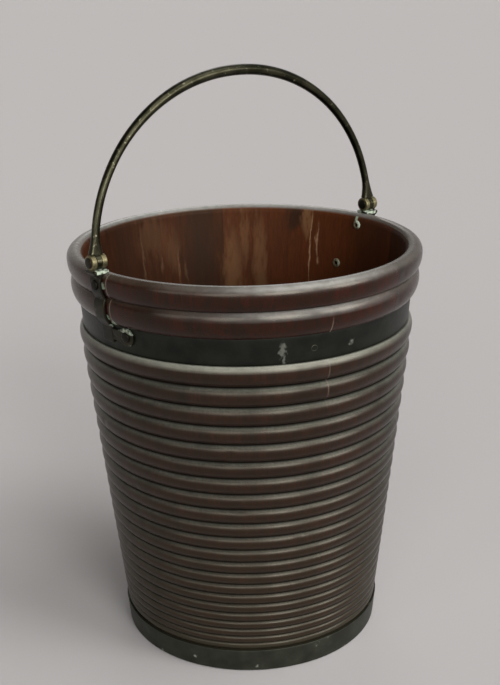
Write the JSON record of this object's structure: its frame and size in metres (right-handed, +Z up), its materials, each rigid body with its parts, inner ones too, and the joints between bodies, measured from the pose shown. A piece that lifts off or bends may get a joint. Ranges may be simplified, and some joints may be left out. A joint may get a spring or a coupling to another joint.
{
  "type": "peat bucket",
  "caption": "Tapered coopered wooden bucket with graded turned ribs, brass hoops and a brass bail that swings on hinges at the rim.",
  "frame": {"origin": "centre of the foot, on the floor", "axes": "+Z up, +X along the bail's pivot, +Y the way the bail leans at rest"},
  "size_m": [0.3686, 0.3506, 0.5794],
  "materials": {
    "mahogany_staves": "old waxed mahogany, dark outside and bare red-brown inside",
    "mahogany_board": "bare mahogany",
    "hoop_brass": "brass strip, dark green-black patina with rubbed edges",
    "bracket_brass": "cast brass, dull patina with verdigris",
    "bail_brass": "brass bar, brown patina, rubbed smooth",
    "rivet_brass": "brass, rubbed, with verdigris round the edges"
  },
  "bodies": {
    "bucket": {"stave_01": "mahogany_staves", "stave_02": "mahogany_staves", "stave_03": "mahogany_staves", "stave_04": "mahogany_staves", "stave_05": "mahogany_staves", "stave_06": "mahogany_staves", "stave_07": "mahogany_staves", "stave_08": "mahogany_staves", "stave_09": "mahogany_staves", "stave_10": "mahogany_staves", "stave_11": "mahogany_staves", "stave_12": "mahogany_staves", "stave_13": "mahogany_staves", "stave_14": "mahogany_staves", "base_board": "mahogany_board", "upper_hoop": "hoop_brass", "upper_hoop_rivet_1": "rivet_brass", "upper_hoop_rivet_2": "rivet_brass", "base_hoop": "hoop_brass", "base_hoop_rivet_1": "rivet_brass", "base_hoop_rivet_2": "rivet_brass", "left_bracket": "bracket_brass", "left_hinge_pin": "rivet_brass", "left_upper_rivet": "rivet_brass", "left_upper_rove": "rivet_brass", "left_lower_rivet": "rivet_brass", "left_lower_rove": "rivet_brass", "right_bracket": "bracket_brass", "right_hinge_pin": "rivet_brass", "right_upper_rivet": "rivet_brass", "right_upper_rove": "rivet_brass", "right_lower_rivet": "rivet_brass", "right_lower_rove": "rivet_brass"},
    "bail": {"bail": "bail_brass"}
  },
  "joints": [
    {"name": "bail_swing", "type": "hinge", "parent": "bucket", "child": "bail", "pos_m": [0, 0, 0.4196], "axis": [1, 0, 0], "range_deg": [-86, 94]}
  ]
}
